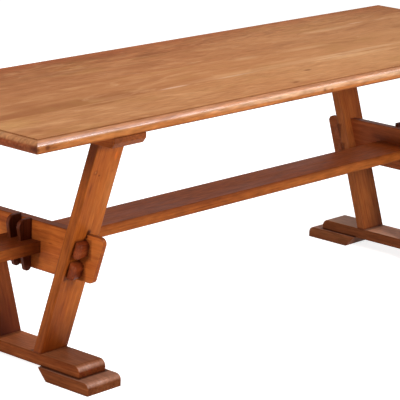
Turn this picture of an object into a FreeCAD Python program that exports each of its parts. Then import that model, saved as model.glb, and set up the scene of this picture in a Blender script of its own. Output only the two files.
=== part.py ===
import FreeCAD, Part
import os
import Sketcher

# A trestle dining table of solid wood, in millimetres.
# X runs along the table, Y across it and Z up. The origin is on the floor under the middle.
# Two V-shaped trestles carry the top. In each one a crossbar on edge runs through both legs and ends
# in tusks, where pairs of pegs hold the legs. A flat stretcher runs through both crossbars, and upright
# keys hold it there. The pieces of one kind share one outline and differ in their placement.

document = FreeCAD.newDocument("TrestleTable")
sheet = document.addObject("Spreadsheet::Sheet", "Sizes")

driving_sizes = [
    ("table_length", 2364),
    ("table_width", 740),
    ("table_height", 752),
    ("top_thickness", 34),
    ("field_inset", 24),
    ("field_rise", 3),
    ("field_ease", 1),
    ("edge_round", 16),
    ("underside_round", 7),
    ("front_glue_line", -147),
    ("middle_glue_line", 36),
    ("rear_glue_line", 215),
    ("trestle_offset", 844),
    ("bearer_width", 122),
    ("bearer_thickness", 28),
    ("bearer_length", 736),
    ("bearer_end_slope", 10.5),
    ("bearer_end_rise", 14.5),
    ("bearer_ease", 3),
    ("leg_width", 106),
    ("leg_thickness", 30),
    ("leg_lean", 17.6),
    ("leg_foot_reach", 107.5),
    ("leg_ease", 5),
    ("leg_tenon_width", 60),
    ("leg_top_tenon", 18),
    ("leg_foot_tenon", 22),
    ("crossbar_bottom", 287),
    ("crossbar_height", 137),
    ("crossbar_thickness", 30),
    ("crossbar_ease", 3.5),
    ("tusk_thickness", 16.5),
    ("tusk_drop", 4),
    ("tusk_reach", 67),
    ("tusk_corner", 16),
    ("tusk_ease", 2),
    ("stretcher_length", 2080),
    ("stretcher_width", 132),
    ("stretcher_thickness", 32.5),
    ("stretcher_bottom", 337.5),
    ("stretcher_ease", 2.5),
    ("stretcher_tenon_width", 122),
    ("stretcher_tenon_corner", 12),
    ("key_spacing", 41),
    ("key_thickness", 12),
    ("key_head_width", 52),
    ("key_tip_width", 23),
    ("key_bottom", 281),
    ("key_height", 147),
    ("back_key_rise", 5.5),
    ("key_head_round", 21),
    ("key_tip_round", 11),
    ("key_ease", 1.5),
    ("peg_length", 90),
    ("peg_height", 47),
    ("peg_head_thickness", 26),
    ("peg_tip_thickness", 16),
    ("peg_round", 13),
    ("peg_head_ease", 6),
    ("peg_tip_ease", 2.5),
    ("peg_spacing", 65),
    ("peg_middle_height", 351.5),
    ("peg_hole_play", 1),
    ("peg_hole_round", 14.5),
    ("slot_relief", 3),
    ("running_gap", 0.25),
    ("sole_length", 508),
    ("sole_width", 105),
    ("sole_thickness", 33),
    ("sole_end_round", 21),
    ("sole_ease", 4),
    ("pad_width", 131),
    ("pad_thickness", 34.3),
    ("pad_outer_end", 301),
    ("pad_inner_top", 110),
    ("pad_inner_bottom", 142),
    ("pad_end_round", 18),
    ("pad_ease", 4),
    ("screw_column", 42),
    ("front_screw_line", -237),
    ("rear_screw_line", 244),
    ("screw_shank", 5),
    ("screw_head", 10),
    ("screw_head_depth", 3),
    ("screw_length", 44),
    ("screw_point", 6.5),
    ("screw_slot_width", 1.2),
    ("screw_slot_depth", 1.2),
]

for row, (word, value) in enumerate(driving_sizes, start=1):
    sheet.set("A%d" % row, word)
    sheet.set("B%d" % row, str(value))
    sheet.setAlias("B%d" % row, word)
document.recompute()


def size(word):
    """The number in one cell of the sheet."""
    return float(sheet.get(word))


# Expressions that several pieces share, built from the cells.
half_top_length = "Sizes.table_length / 2"
half_top_width = "Sizes.table_width / 2"
top_underside = "Sizes.table_height - Sizes.top_thickness"
bearer_underside = "Sizes.table_height - Sizes.top_thickness - Sizes.bearer_thickness"
sole_top = "Sizes.pad_thickness + Sizes.sole_thickness"
crossbar_top = "Sizes.crossbar_bottom + Sizes.crossbar_height"
crossbar_face = "Sizes.trestle_offset + Sizes.crossbar_thickness / 2"
tusk_top = "Sizes.crossbar_bottom + Sizes.crossbar_height - Sizes.tusk_drop"
tusk_inner_face = "Sizes.crossbar_thickness / 2"
tusk_outer_face = "Sizes.crossbar_thickness / 2 - Sizes.tusk_thickness"
tusk_middle = "(Sizes.crossbar_thickness - Sizes.tusk_thickness) / 2"
stretcher_top = "Sizes.stretcher_bottom + Sizes.stretcher_thickness"
key_top = "Sizes.key_bottom + Sizes.key_height"
lean = "Sizes.leg_lean * 1 deg"


def leg_outer_face(level):
    """How far out the outer face of a leg is at a level, as an expression."""
    return "Sizes.leg_foot_reach + (%s - (%s)) * tan(%s)" % (level, sole_top, lean)


def leg_inner_face(level):
    return "%s - Sizes.leg_thickness / cos(%s)" % (leg_outer_face(level), lean)


# Tools for sketches and features


def number(expression):
    """What an expression comes to now, as a plain number."""
    result = sheet.evalExpression(expression)
    return float(getattr(result, "Value", result))


def new_body(name):
    body = document.addObject("PartDesign::Body", name)
    body.Label = name
    return body


def origin_plane(body, role):
    return [plane for plane in body.Origin.OriginFeatures if plane.Role == role][0]


def new_sketch(body, name, role, level=None):
    """A sketch on one of the body's origin planes, moved along its normal by a level if one is given."""
    sketch = body.newObject("Sketcher::SketchObject", name)
    sketch.AttachmentSupport = (origin_plane(body, role), [""])
    sketch.MapMode = "FlatFace"
    if level:
        sketch.setExpression("AttachmentOffset.Base.z", level)
    return sketch


def draw_outline(sketch, corners):
    """A closed outline of straight lines. Each corner is a pair of expressions, bound by constraints."""
    points = [FreeCAD.Vector(number(across), number(up), 0) for across, up in corners]
    first = sketch.GeometryCount
    for index, point in enumerate(points):
        following = points[(index + 1) % len(points)]
        sketch.addGeometry(Part.LineSegment(point, following), False)
    for index, (across, up) in enumerate(corners):
        line = first + index
        following = first + (index + 1) % len(corners)
        sketch.addConstraint(Sketcher.Constraint("Coincident", line, 2, following, 1))
        for kind, value, expression in (
            ("DistanceX", points[index].x, across),
            ("DistanceY", points[index].y, up),
        ):
            constraint = sketch.addConstraint(Sketcher.Constraint(kind, -1, 1, line, 1, value))
            label = "%s_%d" % (kind, line)
            sketch.renameConstraint(constraint, label)
            sketch.setExpression("Constraints." + label, expression)


def rectangle(left, bottom, right, top):
    return [(left, bottom), (right, bottom), (right, top), (left, top)]


def draw_circle(sketch, across, up, diameter):
    centre = FreeCAD.Vector(number(across), number(up), 0)
    circle = sketch.addGeometry(Part.Circle(centre, FreeCAD.Vector(0, 0, 1), number(diameter) / 2), False)
    for kind, value, expression in (
        ("DistanceX", centre.x, across),
        ("DistanceY", centre.y, up),
    ):
        constraint = sketch.addConstraint(Sketcher.Constraint(kind, -1, 1, circle, 3, value))
        label = "%s_%d" % (kind, circle)
        sketch.renameConstraint(constraint, label)
        sketch.setExpression("Constraints." + label, expression)
    constraint = sketch.addConstraint(Sketcher.Constraint("Diameter", circle, number(diameter)))
    label = "Diameter_%d" % circle
    sketch.renameConstraint(constraint, label)
    sketch.setExpression("Constraints." + label, diameter)


def pad(body, sketch, length, both_ways=False):
    feature = body.newObject("PartDesign::Pad", sketch.Name + "_pad")
    feature.Profile = sketch
    feature.Midplane = both_ways
    feature.setExpression("Length", length)
    document.recompute()
    return feature


def pocket(body, sketch, length):
    """Cuts half the length to each side of the sketch, and makes sure that it took something away."""
    before = body.Shape.Volume
    feature = body.newObject("PartDesign::Pocket", sketch.Name + "_pocket")
    feature.Profile = sketch
    feature.Midplane = True
    feature.setExpression("Length", length)
    document.recompute()
    if body.Shape.Volume >= before:
        raise RuntimeError("nothing was cut by " + feature.Name)
    return feature


def fillet(body, name, radius, wanted):
    """Rounds each edge of the body's last feature that the wanted test accepts."""
    base = body.Tip
    names = ["Edge%d" % (index + 1) for index, edge in enumerate(base.Shape.Edges) if wanted(edge)]
    if not names:
        raise RuntimeError("no edge to round in " + name)
    feature = body.newObject("PartDesign::Fillet", name)
    feature.Base = (base, names)
    feature.setExpression("Radius", radius)
    document.recompute()
    return feature


def runs_along(edge, axis):
    """True for a straight edge along the axis X, Y or Z."""
    if not isinstance(edge.Curve, (Part.Line, Part.LineSegment)):
        return False
    direction = edge.tangentAt(edge.FirstParameter)
    return abs(abs(getattr(direction, axis.lower())) - 1) < 1e-6


def middle(edge):
    return edge.CenterOfMass


def near(value, expression):
    return abs(value - number(expression)) < 0.01


def at_level(edge, expression):
    """True for an edge that lies flat at the level."""
    box = edge.BoundBox
    return near(box.ZMin, expression) and near(box.ZMax, expression)


def place(item, base, turn=None):
    """Puts a finished piece at its base, with a turn if it needs one."""
    item.Placement = FreeCAD.Placement(FreeCAD.Vector(*base), turn or FreeCAD.Rotation())


half_turn = FreeCAD.Rotation(FreeCAD.Vector(0, 0, 1), 180)
trestle_sides = {"left": -size("trestle_offset"), "right": size("trestle_offset")}
# The sign of X towards the middle of the table, seen from each trestle.
inward = {"left": 1, "right": -1}
nodes = []


def finish(item):
    nodes.append(item)
    return item


# Table top: glued boards with one moulding worked round them all. The moulding is a raised field with
# a small step, a flat strip and a round, and the underside has a smaller round.


def make_top():
    body = new_body("top_slab")
    slab_sketch = new_sketch(body, "top_slab_outline", "XY_Plane", top_underside)
    draw_outline(
        slab_sketch,
        rectangle("-" + half_top_length, "-" + half_top_width, half_top_length, half_top_width),
    )
    pad(body, slab_sketch, "Sizes.top_thickness - Sizes.field_rise")
    step_level = "Sizes.table_height - Sizes.field_rise"
    fillet(body, "top_edge_round", "Sizes.edge_round", lambda edge: at_level(edge, step_level))
    fillet(body, "top_underside_round", "Sizes.underside_round", lambda edge: at_level(edge, top_underside))
    field_sketch = new_sketch(body, "top_field_outline", "XY_Plane", step_level)
    field_x = half_top_length + " - Sizes.field_inset"
    field_y = half_top_width + " - Sizes.field_inset"
    draw_outline(
        field_sketch,
        rectangle("-(%s)" % field_x, "-(%s)" % field_y, field_x, field_y),
    )
    pad(body, field_sketch, "Sizes.field_rise")
    fillet(body, "top_field_ease", "Sizes.field_ease", lambda edge: at_level(edge, "Sizes.table_height"))
    pilot_sketch = new_sketch(body, "top_screw_holes", "XY_Plane", top_underside)
    for x_place in screw_columns():
        for y_place in screw_rows():
            draw_circle(pilot_sketch, x_place, y_place, "Sizes.screw_shank")
    pocket(body, pilot_sketch, "2 * (Sizes.screw_length - Sizes.bearer_thickness)")

    glue_lines = [
        "-" + half_top_width,
        "Sizes.front_glue_line",
        "Sizes.middle_glue_line",
        "Sizes.rear_glue_line",
        half_top_width,
    ]
    for index in range(len(glue_lines) - 1):
        front, rear = glue_lines[index], glue_lines[index + 1]
        strip = document.addObject("Part::Box", "board_strip_%d" % (index + 1))
        strip.setExpression("Length", "Sizes.table_length")
        strip.setExpression("Width", "%s - (%s)" % (rear, front))
        strip.setExpression("Height", "Sizes.top_thickness")
        strip.setExpression("Placement.Base.x", "-" + half_top_length)
        strip.setExpression("Placement.Base.y", front)
        strip.setExpression("Placement.Base.z", top_underside)
        board = document.addObject("Part::Common", "top_board_%d" % (index + 1))
        board.Label = "top_board_%d" % (index + 1)
        board.Base = body
        board.Tool = strip
        finish(board)


# Screws: each board of the top is held by two screws in each bearer.


def screw_columns():
    return [
        "%s * Sizes.trestle_offset %s Sizes.screw_column" % (side, sign)
        for side in ("-1", "1")
        for sign in ("-", "+")
    ]


def screw_rows():
    """One line of screws to each board, on its middle unless a leg's tenon is in the way."""
    return [
        "Sizes.front_screw_line",
        "(Sizes.front_glue_line + Sizes.middle_glue_line) / 2",
        "(Sizes.middle_glue_line + Sizes.rear_glue_line) / 2",
        "Sizes.rear_screw_line",
    ]


def make_screws(side):
    """Slotted countersunk screws, copies of one turned outline kept together as a group of solids."""
    screw = new_body("screw_pattern_" + side)
    half_sketch = new_sketch(screw, "screw_half_outline_" + side, "XZ_Plane")
    shank = "Sizes.screw_shank / 2"
    head = "Sizes.screw_head / 2"
    head_depth = "Sizes.screw_head_depth"
    draw_outline(
        half_sketch,
        [
            ("0", "0"),
            (head, "0"),
            (shank, head_depth),
            (shank, "Sizes.screw_length - Sizes.screw_point"),
            ("0", "Sizes.screw_length"),
        ],
    )
    turned = screw.newObject("PartDesign::Revolution", "screw_turned_" + side)
    turned.Profile = half_sketch
    turned.ReferenceAxis = (half_sketch, ["V_Axis"])
    turned.Angle = 360
    document.recompute()
    slot_sketch = new_sketch(screw, "screw_slot_" + side, "XY_Plane")
    draw_outline(
        slot_sketch,
        rectangle(
            "-Sizes.screw_head",
            "-Sizes.screw_slot_width / 2",
            "Sizes.screw_head",
            "Sizes.screw_slot_width / 2",
        ),
    )
    pocket(screw, slot_sketch, "2 * Sizes.screw_slot_depth")
    copies = []
    centre = trestle_sides[side]
    for x_step in (-size("screw_column"), size("screw_column")):
        for row in screw_rows():
            copies.append(
                screw.Shape.translated(FreeCAD.Vector(centre + x_step, number(row), number(bearer_underside)))
            )
    group = document.addObject("Part::Feature", "bearer_screws_" + side)
    group.Label = "bearer_screws_" + side
    group.Shape = Part.makeCompound(copies)
    finish(group)


# Bearers: flat boards under the top, with sloping ends and a mortise for each leg.


def make_bearer(side):
    body = new_body("bearer_" + side)
    half_length = "Sizes.bearer_length / 2"
    slope_level = "%s + Sizes.bearer_end_rise" % bearer_underside
    short = "%s - Sizes.bearer_end_slope" % half_length
    outline = new_sketch(body, "bearer_outline_" + side, "YZ_Plane")
    draw_outline(
        outline,
        [
            ("-(%s)" % short, bearer_underside),
            (short, bearer_underside),
            (half_length, slope_level),
            (half_length, top_underside),
            ("-" + half_length, top_underside),
            ("-" + half_length, slope_level),
        ],
    )
    pad(body, outline, "Sizes.bearer_width", both_ways=True)
    fillet(
        body,
        "bearer_ease_" + side,
        "Sizes.bearer_ease",
        lambda edge: middle(edge).z < number(top_underside) - 1 and not near(middle(edge).x, "0"),
    )
    cut_leg_mortises(body, "bearer_mortise_" + side, bearer_underside, "+ Sizes.leg_top_tenon")
    holes = new_sketch(body, "bearer_holes_" + side, "XY_Plane", top_underside)
    for x_place in ("-Sizes.screw_column", "Sizes.screw_column"):
        for y_place in screw_rows():
            draw_circle(holes, x_place, y_place, "Sizes.screw_shank")
    pocket(body, holes, "2 * Sizes.bearer_thickness")
    for x_index, x_step in enumerate((-size("screw_column"), size("screw_column"))):
        for y_index, row in enumerate(screw_rows()):
            sink = body.newObject("PartDesign::SubtractiveCone", "sink_%s_%d_%d" % (side, x_index, y_index))
            sink.setExpression("Radius1", "Sizes.screw_head / 2")
            sink.setExpression("Radius2", "Sizes.screw_shank / 2")
            sink.setExpression("Height", "Sizes.screw_head_depth")
            sink.Placement = FreeCAD.Placement(
                FreeCAD.Vector(x_step, number(row), number(bearer_underside)), FreeCAD.Rotation()
            )
            body.Tip = sink
    document.recompute()
    place(body, (trestle_sides[side], 0, 0))
    finish(body)


def cut_leg_mortises(body, name, level, depth):
    """Two leaning mortises, as wide as the legs' tenons, from a level on by a signed depth."""
    far_level = "%s %s" % (level, depth)
    sketch = new_sketch(body, name, "YZ_Plane")
    for sign in ("", "-"):
        draw_outline(
            sketch,
            [
                ("%s(%s)" % (sign, leg_outer_face(level)), level),
                ("%s(%s)" % (sign, leg_outer_face("(%s)" % far_level)), far_level),
                ("%s(%s)" % (sign, leg_inner_face("(%s)" % far_level)), far_level),
                ("%s(%s)" % (sign, leg_inner_face(level)), level),
            ],
        )
    pocket(body, sketch, "Sizes.leg_tenon_width")


# Legs: leaning boards with a tenon at each end and a mortise that the crossbar runs through.


def leaning_outline(sketch, low, high):
    draw_outline(
        sketch,
        [
            (leg_outer_face("(%s)" % low), low),
            (leg_outer_face("(%s)" % high), high),
            (leg_inner_face("(%s)" % high), high),
            (leg_inner_face("(%s)" % low), low),
        ],
    )


def make_leg(side, depth_side):
    name = "leg_%s_%s" % (depth_side, side)
    body = new_body(name)
    board = new_sketch(body, name + "_board", "YZ_Plane")
    leaning_outline(board, sole_top, bearer_underside)
    pad(body, board, "Sizes.leg_width", both_ways=True)
    fillet(
        body,
        name + "_ease",
        "Sizes.leg_ease",
        lambda edge: edge.Length > size("crossbar_bottom"),
    )
    tenon_ends = {
        "_foot_tenon": ("%s - Sizes.leg_foot_tenon" % sole_top, sole_top),
        "_top_tenon": (bearer_underside, "%s + Sizes.leg_top_tenon" % bearer_underside),
    }
    for ending, (low, high) in tenon_ends.items():
        tenon = new_sketch(body, name + ending, "YZ_Plane")
        leaning_outline(tenon, low, high)
        pad(body, tenon, "Sizes.leg_tenon_width", both_ways=True)
    # The front legs are turned half round, so their mortise is drawn on the other side.
    toward_middle = -inward[side] if depth_side == "front" else inward[side]
    mortise = new_sketch(body, name + "_mortise", "XZ_Plane")
    draw_outline(
        mortise,
        rectangle(
            "%d * (%s)" % (toward_middle, tusk_outer_face),
            "Sizes.crossbar_bottom",
            "%d * (%s)" % (toward_middle, tusk_inner_face),
            tusk_top,
        ),
    )
    pocket(body, mortise, "2 * Sizes.table_width")
    turn = half_turn if depth_side == "front" else None
    place(body, (trestle_sides[side], 0, 0), turn)
    finish(body)


# Crossbars: boards on edge between the legs. A thinner tusk runs on through each leg, flush with the
# face towards the middle of the table. It ends parallel to the leg and has two holes for the pegs. In
# its middle the board has a mortise for the stretcher's tenon.


def peg_hole_corner(outward, along):
    """A point of the peg holes, from where the leg's outer face has the pegs' middle height."""
    across = "%s + (%s) * cos(%s) + (%s) * sin(%s)" % (
        leg_outer_face("Sizes.peg_middle_height"),
        outward,
        lean,
        along,
        lean,
    )
    up = "Sizes.peg_middle_height - (%s) * sin(%s) + (%s) * cos(%s)" % (outward, lean, along, lean)
    return across, up


def peg_hole_outline(row_sign):
    """The four corners of the upper (1) or lower (-1) hole. The second and third are the outer ones."""
    peg_taper = "(Sizes.peg_head_thickness - Sizes.peg_tip_thickness) / Sizes.peg_length"
    head_reach = "(Sizes.peg_length - Sizes.tusk_thickness) / 2"
    outer_wall = "Sizes.peg_head_thickness - %s * %s + 2 * Sizes.running_gap" % (head_reach, peg_taper)
    centre = "%d * Sizes.peg_spacing / 2" % row_sign
    half_hole = "Sizes.peg_height / 2 + Sizes.peg_hole_play"
    low = "%s - (%s)" % (centre, half_hole)
    high = "%s + %s" % (centre, half_hole)
    return [
        peg_hole_corner("-Sizes.slot_relief", low),
        peg_hole_corner(outer_wall, low),
        peg_hole_corner(outer_wall, high),
        peg_hole_corner("-Sizes.slot_relief", high),
    ]


def cut_tusk_shoulders(body, name, side):
    """Thins the ends on the face away from the table's middle, and lowers their top edge a little."""
    low_shoulder = leg_inner_face("Sizes.crossbar_bottom")
    high_shoulder = leg_inner_face("(%s)" % crossbar_top)
    outer_plane = "%d * Sizes.crossbar_thickness / 2" % -inward[side]
    face_cut = new_sketch(body, name + "_shoulders", "YZ_Plane", outer_plane)
    top_cut = new_sketch(body, name + "_top_shoulders", "YZ_Plane")
    clear = half_top_width
    for sign in ("", "-"):
        draw_outline(
            face_cut,
            [
                ("%s(%s)" % (sign, low_shoulder), "Sizes.crossbar_bottom"),
                ("%s(%s)" % (sign, clear), "Sizes.crossbar_bottom"),
                ("%s(%s)" % (sign, clear), crossbar_top),
                ("%s(%s)" % (sign, high_shoulder), crossbar_top),
            ],
        )
        draw_outline(
            top_cut,
            [
                ("%s(%s)" % (sign, leg_inner_face("(%s)" % tusk_top)), tusk_top),
                ("%s(%s)" % (sign, clear), tusk_top),
                ("%s(%s)" % (sign, clear), crossbar_top),
                ("%s(%s)" % (sign, high_shoulder), crossbar_top),
            ],
        )
    pocket(body, face_cut, "2 * (Sizes.crossbar_thickness - Sizes.tusk_thickness)")
    pocket(body, top_cut, "2 * Sizes.crossbar_thickness")


def make_crossbar(side):
    name = "crossbar_" + side
    body = new_body(name)
    outline = new_sketch(body, name + "_outline", "YZ_Plane")
    low_end = leg_outer_face("Sizes.crossbar_bottom") + " + Sizes.tusk_reach"
    high_end = leg_outer_face("(%s)" % crossbar_top) + " + Sizes.tusk_reach"
    draw_outline(
        outline,
        [
            ("-(%s)" % low_end, "Sizes.crossbar_bottom"),
            (low_end, "Sizes.crossbar_bottom"),
            (high_end, crossbar_top),
            ("-(%s)" % high_end, crossbar_top),
        ],
    )
    pad(body, outline, "Sizes.crossbar_thickness", both_ways=True)
    cut_tusk_shoulders(body, name, side)
    shoulder = number(leg_inner_face("(%s)" % crossbar_top)) + 1

    def on_tusk(edge):
        return abs(middle(edge).y) > shoulder

    fillet(
        body,
        name + "_corners",
        "Sizes.tusk_corner",
        lambda edge: runs_along(edge, "X") and on_tusk(edge),
    )
    fillet(
        body,
        name + "_tusk_ease",
        "Sizes.tusk_ease",
        lambda edge: on_tusk(edge) and not runs_along(edge, "X") and edge.Length > size("tusk_reach"),
    )
    fillet(
        body,
        name + "_ease",
        "Sizes.crossbar_ease",
        lambda edge: runs_along(edge, "Y")
        and not on_tusk(edge)
        and near(middle(edge).x, "%d * Sizes.crossbar_thickness / 2" % -inward[side]),
    )
    holes = new_sketch(body, name + "_peg_holes", "YZ_Plane")
    round_spots = []
    for row_sign in (1, -1):
        corners = peg_hole_outline(row_sign)
        draw_outline(holes, corners)
        draw_outline(holes, [("-(%s)" % across, up) for across, up in corners])
        round_spots += [(number(across), number(up)) for across, up in corners[1:3]]
    pocket(body, holes, "2 * Sizes.crossbar_thickness")

    def is_round_corner(edge):
        spot = middle(edge)
        return any(
            abs(abs(spot.y) - across) < 0.01 and abs(spot.z - up) < 0.01 for across, up in round_spots
        )

    fillet(
        body,
        name + "_peg_hole_round",
        "Sizes.peg_hole_round",
        lambda edge: runs_along(edge, "X") and is_round_corner(edge),
    )
    mortise = new_sketch(body, name + "_mortise", "YZ_Plane")
    draw_outline(
        mortise,
        rectangle(
            "-Sizes.stretcher_tenon_width / 2",
            "Sizes.stretcher_bottom",
            "Sizes.stretcher_tenon_width / 2",
            stretcher_top,
        ),
    )
    pocket(body, mortise, "2 * Sizes.crossbar_thickness")
    place(body, (trestle_sides[side], 0, 0))
    finish(body)


# Pegs: wedges that lie in the holes, flat on the leg, rounded on the far side. Their thicker heads are
# all at the ends of the table, where they are driven in.


def make_peg(side, depth_side, row):
    name = "peg_%s_%s_%s" % (row, depth_side, side)
    body = new_body(name)
    outline = new_sketch(body, name + "_outline", "XY_Plane", "-Sizes.peg_height / 2")
    gap = "Sizes.running_gap"
    half_length = "Sizes.peg_length / 2"
    draw_outline(
        outline,
        [
            ("-" + half_length, gap),
            (half_length, gap),
            (half_length, "%s + Sizes.peg_head_thickness" % gap),
            ("-" + half_length, "%s + Sizes.peg_tip_thickness" % gap),
        ],
    )
    pad(body, outline, "Sizes.peg_height")
    fillet(
        body,
        name + "_round",
        "Sizes.peg_round",
        lambda edge: edge.Length > size("peg_length") - 1
        and middle(edge).y > size("peg_tip_thickness") / 2,
    )
    fillet(
        body,
        name + "_head_ease",
        "Sizes.peg_head_ease",
        lambda edge: near(middle(edge).x, half_length),
    )
    fillet(
        body,
        name + "_tip_ease",
        "Sizes.peg_tip_ease",
        lambda edge: near(middle(edge).x, "-" + half_length),
    )
    turn = FreeCAD.Rotation(FreeCAD.Vector(1, 0, 0), -size("leg_lean"))
    step = size("peg_spacing") / 2
    if row == "lower":
        step = -step
    along = turn.multVec(FreeCAD.Vector(0, 0, step))
    spot = FreeCAD.Vector(0, number(leg_outer_face("Sizes.peg_middle_height")), size("peg_middle_height"))
    spot = spot + along
    # The head is drawn at the end with greater X. It has to come to the end away from the middle.
    if (side == "left") == (depth_side == "back"):
        turn = turn.multiply(FreeCAD.Rotation(FreeCAD.Vector(0, 1, 0), 180))
    if depth_side == "front":
        spot = half_turn.multVec(spot)
        turn = half_turn.multiply(turn)
    x_place = trestle_sides[side] + inward[side] * number(tusk_middle)
    place(body, (x_place, spot.y, spot.z), turn)
    finish(body)


# Stretcher: a flat board whose narrower ends run through the crossbars, with two key slots in each.


def key_edge(level):
    """How far the tapered edge of a key is from the crossbar's face at a level."""
    slope = "(Sizes.key_head_width - Sizes.key_tip_width) / Sizes.key_height"
    return "Sizes.key_tip_width + (%s - Sizes.key_bottom) * %s" % (level, slope)


def make_stretcher():
    body = new_body("stretcher")
    half_length = "Sizes.stretcher_length / 2"
    shoulder = "Sizes.trestle_offset - Sizes.crossbar_thickness / 2"
    half_width = "Sizes.stretcher_width / 2"
    half_tenon = "Sizes.stretcher_tenon_width / 2"
    outline = new_sketch(body, "stretcher_outline", "XY_Plane", "Sizes.stretcher_bottom")
    draw_outline(
        outline,
        [
            ("-(%s)" % shoulder, "-" + half_width),
            (shoulder, "-" + half_width),
            (shoulder, "-" + half_tenon),
            (half_length, "-" + half_tenon),
            (half_length, half_tenon),
            (shoulder, half_tenon),
            (shoulder, half_width),
            ("-(%s)" % shoulder, half_width),
            ("-(%s)" % shoulder, half_tenon),
            ("-" + half_length, half_tenon),
            ("-" + half_length, "-" + half_tenon),
            ("-(%s)" % shoulder, "-" + half_tenon),
        ],
    )
    pad(body, outline, "Sizes.stretcher_thickness")
    fillet(
        body,
        "stretcher_corners",
        "Sizes.stretcher_tenon_corner",
        lambda edge: runs_along(edge, "Z") and near(abs(middle(edge).x), half_length),
    )
    fillet(
        body,
        "stretcher_ease",
        "Sizes.stretcher_ease",
        lambda edge: runs_along(edge, "X") and near(abs(middle(edge).y), half_width),
    )
    slot_low = "Sizes.stretcher_bottom - Sizes.stretcher_thickness"
    slot_high = "%s + Sizes.stretcher_thickness" % stretcher_top
    inner_wall = "%s - Sizes.slot_relief" % crossbar_face
    # The slots of the back keys are a little narrower, as those keys stand higher.
    for label, level, key_rise in (
        ("front", "Sizes.key_spacing / 2", "0"),
        ("back", "-Sizes.key_spacing / 2", "Sizes.back_key_rise"),
    ):
        slots = new_sketch(body, "stretcher_slots_" + label, "XZ_Plane", level)
        low_edge = key_edge("(%s - %s)" % (slot_low, key_rise))
        high_edge = key_edge("(%s - %s)" % (slot_high, key_rise))
        for sign in ("", "-"):
            low_wall = "%s + %s + 2 * Sizes.running_gap" % (crossbar_face, low_edge)
            high_wall = "%s + %s + 2 * Sizes.running_gap" % (crossbar_face, high_edge)
            draw_outline(
                slots,
                [
                    ("%s(%s)" % (sign, inner_wall), slot_low),
                    ("%s(%s)" % (sign, low_wall), slot_low),
                    ("%s(%s)" % (sign, high_wall), slot_high),
                    ("%s(%s)" % (sign, inner_wall), slot_high),
                ],
            )
        pocket(body, slots, "Sizes.key_thickness + 2 * Sizes.running_gap")
    finish(body)


# Keys: upright wedges with one straight edge against the crossbar and the other edge tapered. The back
# one of each pair isn't driven in as deep.


def make_key(side, depth_side):
    name = "key_%s_%s" % (depth_side, side)
    body = new_body(name)
    face = "%s + Sizes.running_gap" % crossbar_face
    outline = new_sketch(body, name + "_outline", "XZ_Plane")
    draw_outline(
        outline,
        [
            (face, "Sizes.key_bottom"),
            ("%s + Sizes.key_tip_width" % face, "Sizes.key_bottom"),
            ("%s + Sizes.key_head_width" % face, key_top),
            (face, key_top),
        ],
    )
    pad(body, outline, "Sizes.key_thickness", both_ways=True)
    outer = number(face) + size("key_tip_width") / 2
    fillet(
        body,
        name + "_head",
        "Sizes.key_head_round",
        lambda edge: runs_along(edge, "Y") and middle(edge).x > outer and near(middle(edge).z, key_top),
    )
    fillet(
        body,
        name + "_tip",
        "Sizes.key_tip_round",
        lambda edge: runs_along(edge, "Y") and near(middle(edge).z, "Sizes.key_bottom"),
    )
    fillet(
        body,
        name + "_ease",
        "Sizes.key_ease",
        lambda edge: near(abs(middle(edge).y), "Sizes.key_thickness / 2"),
    )
    across, rise = size("key_spacing") / 2, size("back_key_rise")
    if depth_side == "front":
        across, rise = -across, 0
    place(body, (0, across, rise), half_turn if side == "left" else None)
    finish(body)


# Soles: the foot boards that the legs stand in, with rounded upper ends.


def make_sole(side):
    name = "sole_" + side
    body = new_body(name)
    outline = new_sketch(body, name + "_outline", "YZ_Plane")
    draw_outline(
        outline,
        rectangle("-Sizes.sole_length / 2", "Sizes.pad_thickness", "Sizes.sole_length / 2", sole_top),
    )
    pad(body, outline, "Sizes.sole_width", both_ways=True)
    fillet(
        body,
        name + "_ends",
        "Sizes.sole_end_round",
        lambda edge: runs_along(edge, "X") and near(middle(edge).z, sole_top),
    )
    fillet(
        body,
        name + "_ease",
        "Sizes.sole_ease",
        lambda edge: near(abs(middle(edge).x), "Sizes.sole_width / 2")
        and middle(edge).z > size("pad_thickness") + 1,
    )
    cut_leg_mortises(body, name + "_mortise", "(%s)" % sole_top, "- Sizes.leg_foot_tenon")
    place(body, (trestle_sides[side], 0, 0))
    finish(body)


# Pads: blocks under the ends of the soles, undercut on the inner end and rounded on the outer one.


def make_pad(side, depth_side):
    name = "pad_%s_%s" % (depth_side, side)
    body = new_body(name)
    outline = new_sketch(body, name + "_outline", "YZ_Plane")
    draw_outline(
        outline,
        [
            ("Sizes.pad_inner_bottom", "0"),
            ("Sizes.pad_outer_end", "0"),
            ("Sizes.pad_outer_end", "Sizes.pad_thickness"),
            ("Sizes.pad_inner_top", "Sizes.pad_thickness"),
        ],
    )
    pad(body, outline, "Sizes.pad_width", both_ways=True)
    fillet(
        body,
        name + "_end",
        "Sizes.pad_end_round",
        lambda edge: runs_along(edge, "X")
        and near(middle(edge).y, "Sizes.pad_outer_end")
        and middle(edge).z > 1,
    )
    fillet(
        body,
        name + "_ease",
        "Sizes.pad_ease",
        lambda edge: near(abs(middle(edge).x), "Sizes.pad_width / 2")
        and middle(edge).y > size("pad_inner_bottom")
        and middle(edge).z > 1,
    )
    place(body, (trestle_sides[side], 0, 0), half_turn if depth_side == "front" else None)
    finish(body)


make_top()
make_stretcher()
for side in trestle_sides:
    make_bearer(side)
    make_screws(side)
    make_crossbar(side)
    make_sole(side)
    for depth_side in ("front", "back"):
        make_leg(side, depth_side)
        make_key(side, depth_side)
        make_pad(side, depth_side)
        for row in ("upper", "lower"):
            make_peg(side, depth_side, row)
document.recompute()

for item in document.Objects:
    if "Invalid" in item.State or "Error" in item.State:
        raise RuntimeError("%s failed: %s" % (item.Name, item.State))
for item in nodes:
    if item.Shape.isNull() or not item.Shape.isValid():
        raise RuntimeError("%s has no sound shape" % item.Label)

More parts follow.
